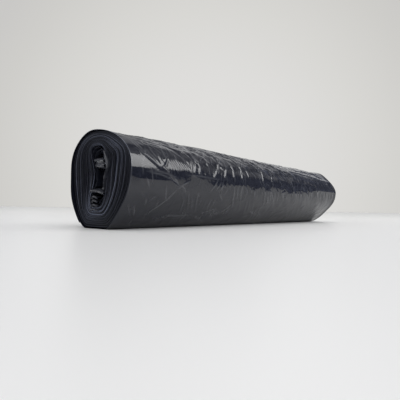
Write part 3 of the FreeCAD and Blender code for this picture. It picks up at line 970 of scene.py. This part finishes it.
# %% Floor
bpy.ops.object.select_all(action="DESELECT")
bpy.ops.mesh.primitive_plane_add(size=12)
floor = bpy.context.object
floor.name = "floor"
floor_paint = bpy.data.materials.new("pale_floor")
floor_paint.use_nodes = True
floor_shader = floor_paint.node_tree.nodes["Principled BSDF"]
floor_shader.inputs["Roughness"].default_value = 0.38
floor_shader.inputs["IOR"].default_value = 1.55
floor_nodes = floor_paint.node_tree.nodes
floor_links = floor_paint.node_tree.links
floor_place = floor_nodes.new("ShaderNodeTexCoord")
floor_way = floor_nodes.new("ShaderNodeVectorMath")
floor_way.operation = "DISTANCE"
floor_way.inputs[1].default_value = (-0.25, -0.15, 0)
floor_links.new(floor_place.outputs["Object"], floor_way.inputs[0])
# Painted light: the floor's colour grows a little paler with distance from a point in front of the near
# end.
floor_tone = ramp(floor_nodes, (
    (0.15, (0.80, 0.80, 0.795)),
    (0.40, (0.80, 0.80, 0.790)),
    (1.00, (0.82, 0.82, 0.800)),
))
floor_links.new(floor_way.outputs["Value"], floor_tone.inputs["Fac"])
floor_links.new(floor_tone.outputs["Color"], floor_shader.inputs["Base Color"])
floor.data.materials.append(floor_paint)

# %% [markdown]
# Black gloss shows the room rather than itself. So the world is the room: bright overhead, even
# above eye level, dark along the skirting on the camera's side, and pale behind the roll. At a
# doorway the dark reaches higher, clutter makes the room uneven, and a window adds light. The
# camera itself sees a pale backdrop, a little lighter in its middle.

# %% World
BACKDROP_WAY = (0.80, 0.60, 0.0)
BACKDROP_CENTRE = (0.784, 0.612, 0.105)
DOORWAY = (0.91, -0.05, 0.41)
WINDOW = (0.817, 0.347, 0.462)


def direction_match(nodes, links, direction, way):
    """How well a direction agrees with a fixed one, from -1 to 1."""
    node = nodes.new("ShaderNodeVectorMath")
    node.operation = "DOT_PRODUCT"
    node.inputs[1].default_value = way
    links.new(direction, node.inputs[0])
    return node.outputs["Value"]


world = bpy.data.worlds.new("studio")
bpy.context.scene.world = world
world.use_nodes = True
nodes = world.node_tree.nodes
links = world.node_tree.links
background = nodes["Background"]
direction = nodes.new("ShaderNodeTexCoord").outputs["Generated"]
height = nodes.new("ShaderNodeSeparateXYZ")
links.new(direction, height.inputs["Vector"])
room = ramp(nodes, (
    (0.28, (0.12, 0.13, 0.17)),
    (0.34, (0.32, 0.32, 0.34)),
    (0.55, (0.38, 0.38, 0.39)),
    (0.70, (0.29, 0.29, 0.30)),
    (0.80, (0.30, 0.30, 0.31)),
    (0.88, (1.45, 1.45, 1.45)),
))
pale_room = ramp(nodes, (
    (0.00, (0.62, 0.62, 0.61)),
    (0.22, (0.56, 0.56, 0.56)),
    (0.40, (0.25, 0.25, 0.25)),
    (0.80, (0.24, 0.24, 0.24)),
    (0.88, (1.45, 1.45, 1.45)),
))
doorway = fit_range(nodes, links, direction_match(nodes, links, direction, DOORWAY), 0.97, 1.0, 0.0, 0.24)
dark_height = nodes.new("ShaderNodeMath")
dark_height.operation = "SUBTRACT"
links.new(height.outputs["Z"], dark_height.inputs[0])
links.new(doorway, dark_height.inputs[1])
links.new(dark_height.outputs["Value"], room.inputs["Fac"])
links.new(height.outputs["Z"], pale_room.inputs["Fac"])
behind = fit_range(nodes, links, direction_match(nodes, links, direction, BACKDROP_WAY), 0.75, 0.92)
clutter = noise(nodes, links, direction, 5.5, 3)
clutter_tone = fit_range(nodes, links, clutter.outputs["Fac"], 0.38, 0.62, 0.42, 1.85)
window = fit_range(nodes, links, direction_match(nodes, links, direction, WINDOW), 0.968, 0.992, 0.0, 1.6)
brighter = nodes.new("ShaderNodeMath")
links.new(clutter_tone, brighter.inputs[0])
links.new(window, brighter.inputs[1])
both = nodes.new("ShaderNodeMix")
both.data_type = "RGBA"
links.new(behind, both.inputs["Factor"])
links.new(room.outputs["Color"], both.inputs["A"])
links.new(pale_room.outputs["Color"], both.inputs["B"])
backdrop = ramp(nodes, (
    (0.829, (0.587, 0.580, 0.567)),
    (0.866, (0.620, 0.613, 0.591)),
    (0.927, (0.687, 0.680, 0.657)),
    (0.970, (0.728, 0.721, 0.706)),
    (1.000, (0.750, 0.742, 0.726)),
))
links.new(direction_match(nodes, links, direction, BACKDROP_CENTRE), backdrop.inputs["Fac"])
furnished = nodes.new("ShaderNodeVectorMath")
furnished.operation = "SCALE"
links.new(both.outputs["Result"], furnished.inputs["Vector"])
links.new(brighter.outputs["Value"], furnished.inputs["Scale"])
seen = nodes.new("ShaderNodeMix")
seen.data_type = "RGBA"
links.new(nodes.new("ShaderNodeLightPath").outputs["Is Camera Ray"], seen.inputs["Factor"])
links.new(furnished.outputs["Vector"], seen.inputs["A"])
links.new(backdrop.outputs["Color"], seen.inputs["B"])
links.new(seen.outputs["Result"], background.inputs["Color"])

# %% [markdown]
# One soft box gives the bright patch on the side of the roll. Its place follows from the mirror
# law: the direction in which a flat patch of film near the end sends the camera's view. A second,
# wider one stands behind the near end, and lights the edges of the turns and the folds. The third,
# a large one, hangs high on the camera's side and lights the whole roll.

# %% Soft boxes
def soft_box(name, aim, azimuth, height, distance, width, tall, power):
    """A rectangular lamp that faces a point, seen from it at that azimuth and height."""
    azimuth = math.radians(azimuth)
    height = math.radians(height)
    outwards = Vector((
        math.cos(azimuth) * math.cos(height),
        math.sin(azimuth) * math.cos(height),
        math.sin(height),
    ))
    data = bpy.data.lights.new(name, "AREA")
    data.shape = "RECTANGLE"
    data.size = width
    data.size_y = tall
    data.energy = power
    lamp = bpy.data.objects.new(name, data)
    lamp.location = Vector(aim) * MM + outwards * distance
    lamp.rotation_euler = outwards.to_track_quat("Z", "Y").to_euler()
    lamp.visible_camera = False
    bpy.context.scene.collection.objects.link(lamp)
    return lamp


soft_box(
    "side_box", (-170, -35, 46),
    azimuth=-42, height=29, distance=1.3, width=0.36, tall=0.6, power=2.95,
)
soft_box(
    "end_box", (-188, 0, 40),
    azimuth=151, height=10, distance=1.2, width=0.5, tall=0.5, power=3.2,
)
soft_box(
    "front_box", (0, 0, 0),
    azimuth=-100, height=54, distance=6.0, width=6.0, tall=4.8, power=129,
)

# %% [markdown]
# The camera was fitted to the outline of the roll in the photo. Its place is in millimetres.

# %% Camera
CAMERA_AT = (-348.3, -226.85, 15.8)
YAW = math.radians(50.62)
PITCH = math.radians(1.36)
ROLL = math.radians(0.99)
FOCAL_PIXELS = 372.6
FRAME_PIXELS = 400
SENSOR_WIDTH = 36
camera_data = bpy.data.cameras.new("camera")
camera_data.sensor_width = SENSOR_WIDTH
camera_data.lens = FOCAL_PIXELS / FRAME_PIXELS * SENSOR_WIDTH
camera_data.clip_start = 0.01
camera = bpy.data.objects.new("camera", camera_data)
bpy.context.scene.collection.objects.link(camera)
forward = Vector((math.sin(YAW) * math.cos(PITCH), math.cos(YAW) * math.cos(PITCH), math.sin(PITCH)))
level = Vector((math.cos(YAW), -math.sin(YAW), 0))
upright = level.cross(forward)
right = math.cos(ROLL) * level + math.sin(ROLL) * upright
top = math.cos(ROLL) * upright - math.sin(ROLL) * level
camera.matrix_world = Matrix((
    (right.x, top.x, -forward.x, CAMERA_AT[0] * MM),
    (right.y, top.y, -forward.y, CAMERA_AT[1] * MM),
    (right.z, top.z, -forward.z, CAMERA_AT[2] * MM),
    (0, 0, 0, 1),
))
bpy.context.scene.camera = camera
bpy.context.scene.view_settings.view_transform = "Standard"
